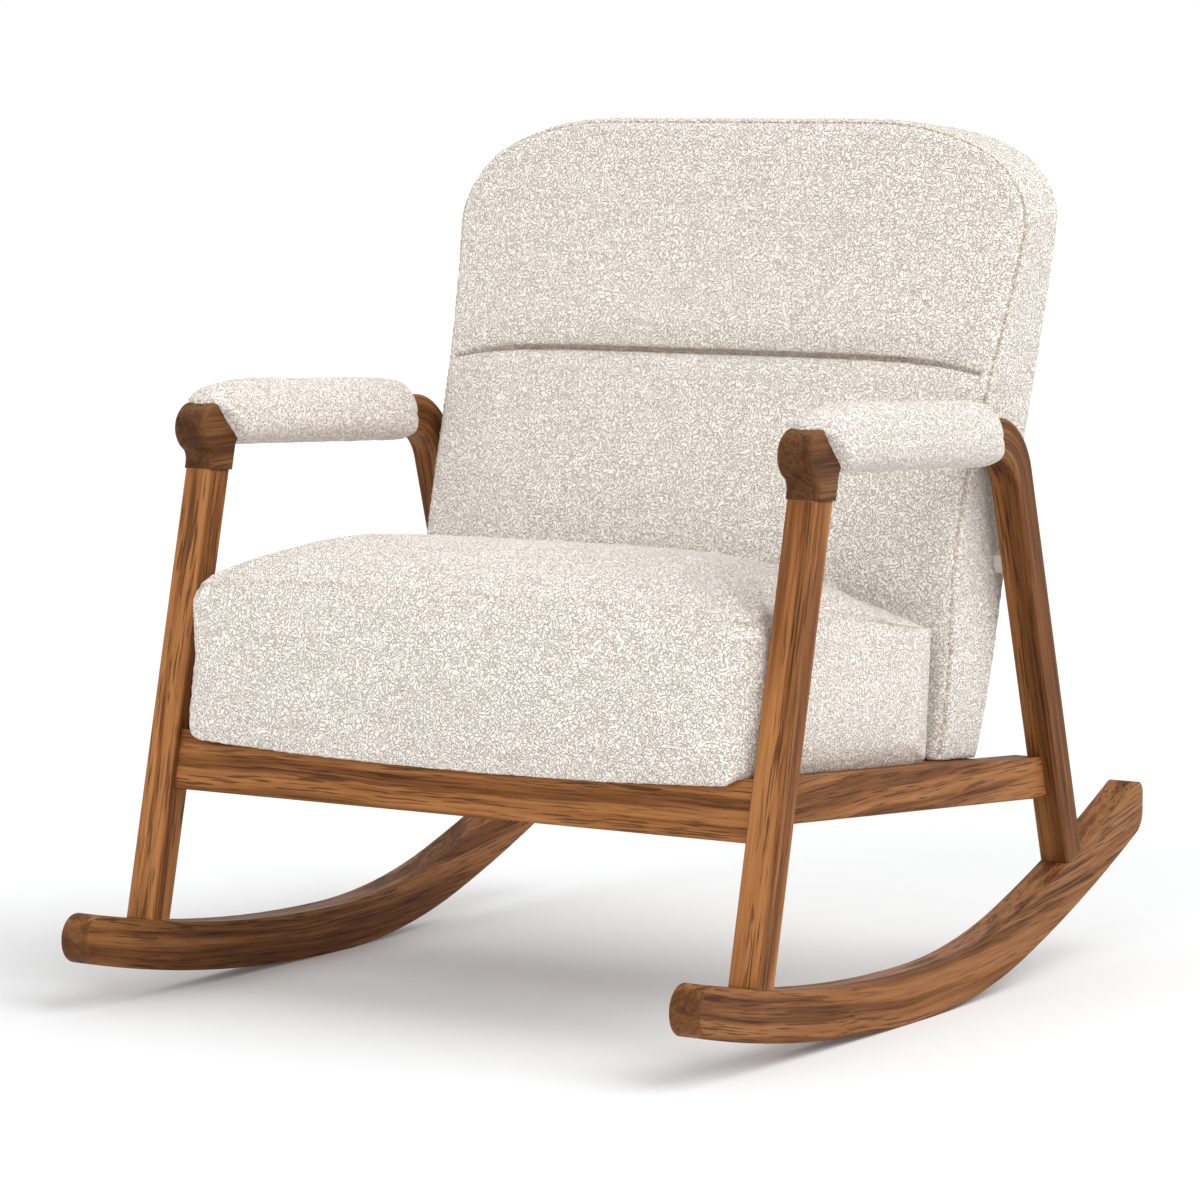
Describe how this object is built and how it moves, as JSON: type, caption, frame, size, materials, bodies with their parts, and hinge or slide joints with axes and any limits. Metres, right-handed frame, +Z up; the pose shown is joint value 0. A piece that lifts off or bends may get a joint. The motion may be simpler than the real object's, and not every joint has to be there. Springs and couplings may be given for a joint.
{
  "type": "upholstered rocking chair",
  "caption": "Upholstered rocking chair: an open wooden frame on curved runners carries a crowned seat, a channelled back and padded arms.",
  "frame": {"origin": "on the floor, midway between the runners and midway between their front and rear tips", "axes": "+Z up, the sitter faces -Y, +X to the right as seen from the front; the seat leans back at its rest position"},
  "size_m": [0.754, 0.874, 0.8587],
  "materials": {
    "stained_wood": "satin",
    "frame_wood": "matte",
    "board": "matte",
    "steel": "satin",
    "webbing": "matte",
    "foam": "matte",
    "upholstery": "matte"
  },
  "bodies": {
    "root": {"arm_cover_left": "upholstery", "arm_cover_right": "upholstery", "arm_foam_left": "foam", "arm_foam_right": "foam", "arm_rail_left": "stained_wood", "arm_rail_right": "stained_wood", "arm_tenons": "frame_wood", "back_cover": "upholstery", "back_foam_lower": "foam", "back_foam_upper": "foam", "back_lower_rail": "frame_wood", "back_middle_rail": "frame_wood", "back_panel": "board", "back_pins": "steel", "back_screws": "steel", "back_spacers": "frame_wood", "back_stile_left": "frame_wood", "back_stile_right": "frame_wood", "back_support_rail": "stained_wood", "back_top_rail": "frame_wood", "back_webbing": "webbing", "corner_blocks": "frame_wood", "corner_screws": "steel", "foot_tenons": "frame_wood", "front_leg_left": "stained_wood", "front_leg_right": "stained_wood", "front_rail": "stained_wood", "rear_leg_left": "stained_wood", "rear_leg_right": "stained_wood", "rear_rail": "stained_wood", "runner_left": "stained_wood", "runner_right": "stained_wood", "seat_cover": "upholstery", "seat_foam": "foam", "seat_frame_front": "frame_wood", "seat_frame_left": "frame_wood", "seat_frame_rear": "frame_wood", "seat_frame_right": "frame_wood", "seat_webbing": "webbing", "side_rail_left": "stained_wood", "side_rail_right": "stained_wood"}
  },
  "joints": []
}
